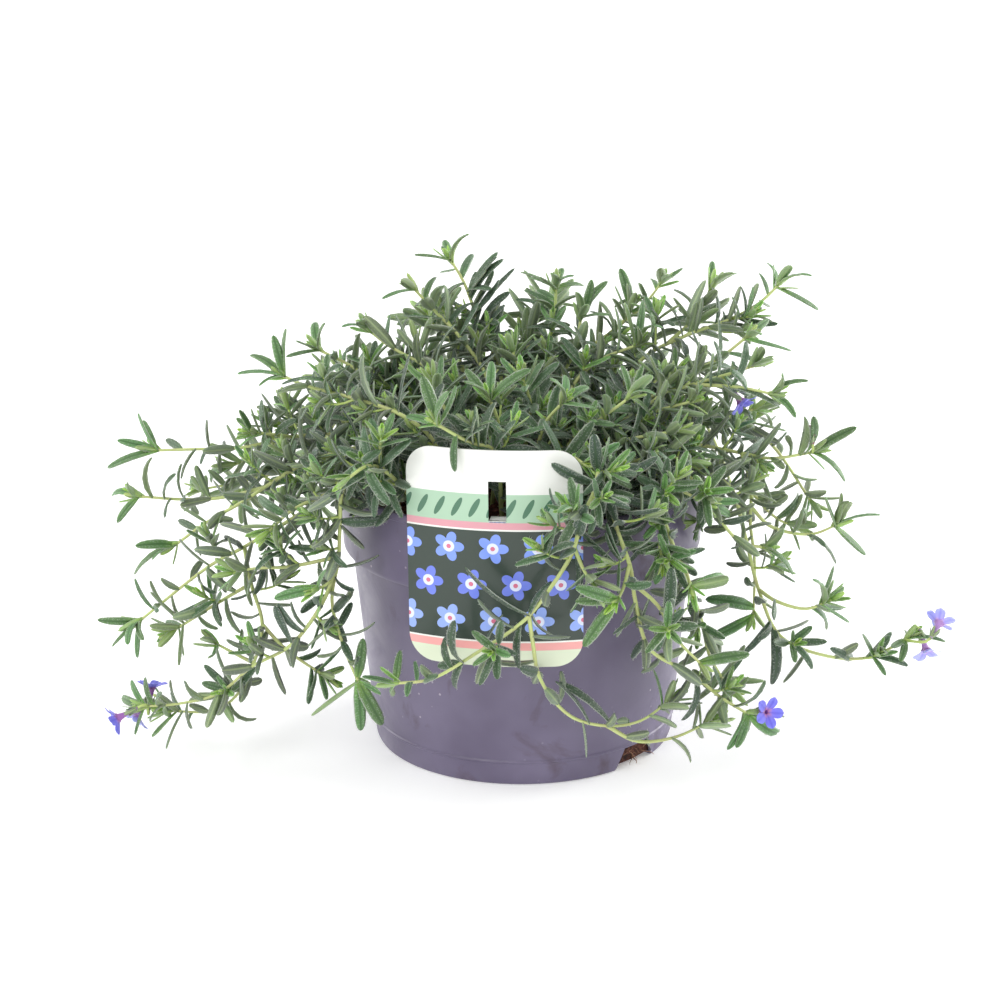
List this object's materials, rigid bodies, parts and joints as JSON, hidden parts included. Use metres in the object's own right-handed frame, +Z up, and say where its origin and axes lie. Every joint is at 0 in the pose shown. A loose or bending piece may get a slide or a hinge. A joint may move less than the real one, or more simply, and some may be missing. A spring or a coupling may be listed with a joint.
{
  "type": "potted grace ward lithodora",
  "caption": "Low trailing evergreen plant with narrow dark leaves and small violet-blue blooms, in a round grey nursery pot with a hang-on picture card.",
  "frame": {"origin": "centre of the pot's underside, on the surface that the pot stands on", "axes": "+Z up along the pot's axis; -Y is the front with the label; +X to the right seen from the front"},
  "size_m": [0.3525, 0.2498, 0.2098],
  "materials": {
    "pot": "satin moulded polypropylene, grey-violet, with soil stains and scuffs",
    "soil": "dark peat potting mix with pale fibres",
    "label": "printed plastic card with a satin gloss",
    "foliage": "leathery dark green leaves and yellow-green stems, with fine pale bristles",
    "corolla": "soft violet-blue petals with a pink tube",
    "withered_bloom": "dried maroon petals"
  },
  "bodies": {
    "root": {"bloom_front_right": "corolla", "bloom_left_end": "corolla", "bloom_left_low": "corolla", "bloom_left_side": "corolla", "bloom_right_end": "corolla", "bloom_right_under": "corolla", "bloom_top_right": "corolla", "bloom_withered": "withered_bloom", "label": "label", "leafy_stem_back_left": "foliage", "leafy_stem_back_left_low": "foliage", "leafy_stem_back_left_mid": "foliage", "leafy_stem_back_left_near": "foliage", "leafy_stem_back_mid": "foliage", "leafy_stem_back_near": "foliage", "leafy_stem_back_right": "foliage", "leafy_stem_back_right_low": "foliage", "leafy_stem_back_right_mid": "foliage", "leafy_stem_crown_back": "foliage", "leafy_stem_crown_back_left": "foliage", "leafy_stem_crown_left": "foliage", "leafy_stem_crown_mid": "foliage", "leafy_stem_crown_near": "foliage", "leafy_stem_crown_side": "foliage", "leafy_stem_front_left": "foliage", "leafy_stem_front_long": "foliage", "leafy_stem_front_mid_left": "foliage", "leafy_stem_front_right": "foliage", "leafy_stem_front_rose": "foliage", "leafy_stem_left_back": "foliage", "leafy_stem_left_front_high": "foliage", "leafy_stem_left_hang": "foliage", "leafy_stem_left_level": "foliage", "leafy_stem_left_long": "foliage", "leafy_stem_left_low": "foliage", "leafy_stem_left_mid": "foliage", "leafy_stem_left_top": "foliage", "leafy_stem_mid": "foliage", "leafy_stem_mid_left": "foliage", "leafy_stem_mid_right": "foliage", "leafy_stem_mid_right_low": "foliage", "leafy_stem_right_front": "foliage", "leafy_stem_right_high": "foliage", "leafy_stem_right_in": "foliage", "leafy_stem_right_long": "foliage", "leafy_stem_right_low": "foliage", "leafy_stem_right_mid": "foliage", "leafy_stem_right_near": "foliage", "leafy_stem_top_left": "foliage", "leafy_stem_top_left_tall": "foliage", "leafy_stem_top_mid": "foliage", "leafy_stem_top_mid_far": "foliage", "leafy_stem_top_mid_right": "foliage", "leafy_stem_top_right_back": "foliage", "leafy_stem_top_right_far": "foliage", "leafy_stem_top_right_mid": "foliage", "leafy_stem_top_right_near": "foliage", "pot": "pot", "soil": "soil"}
  },
  "joints": []
}
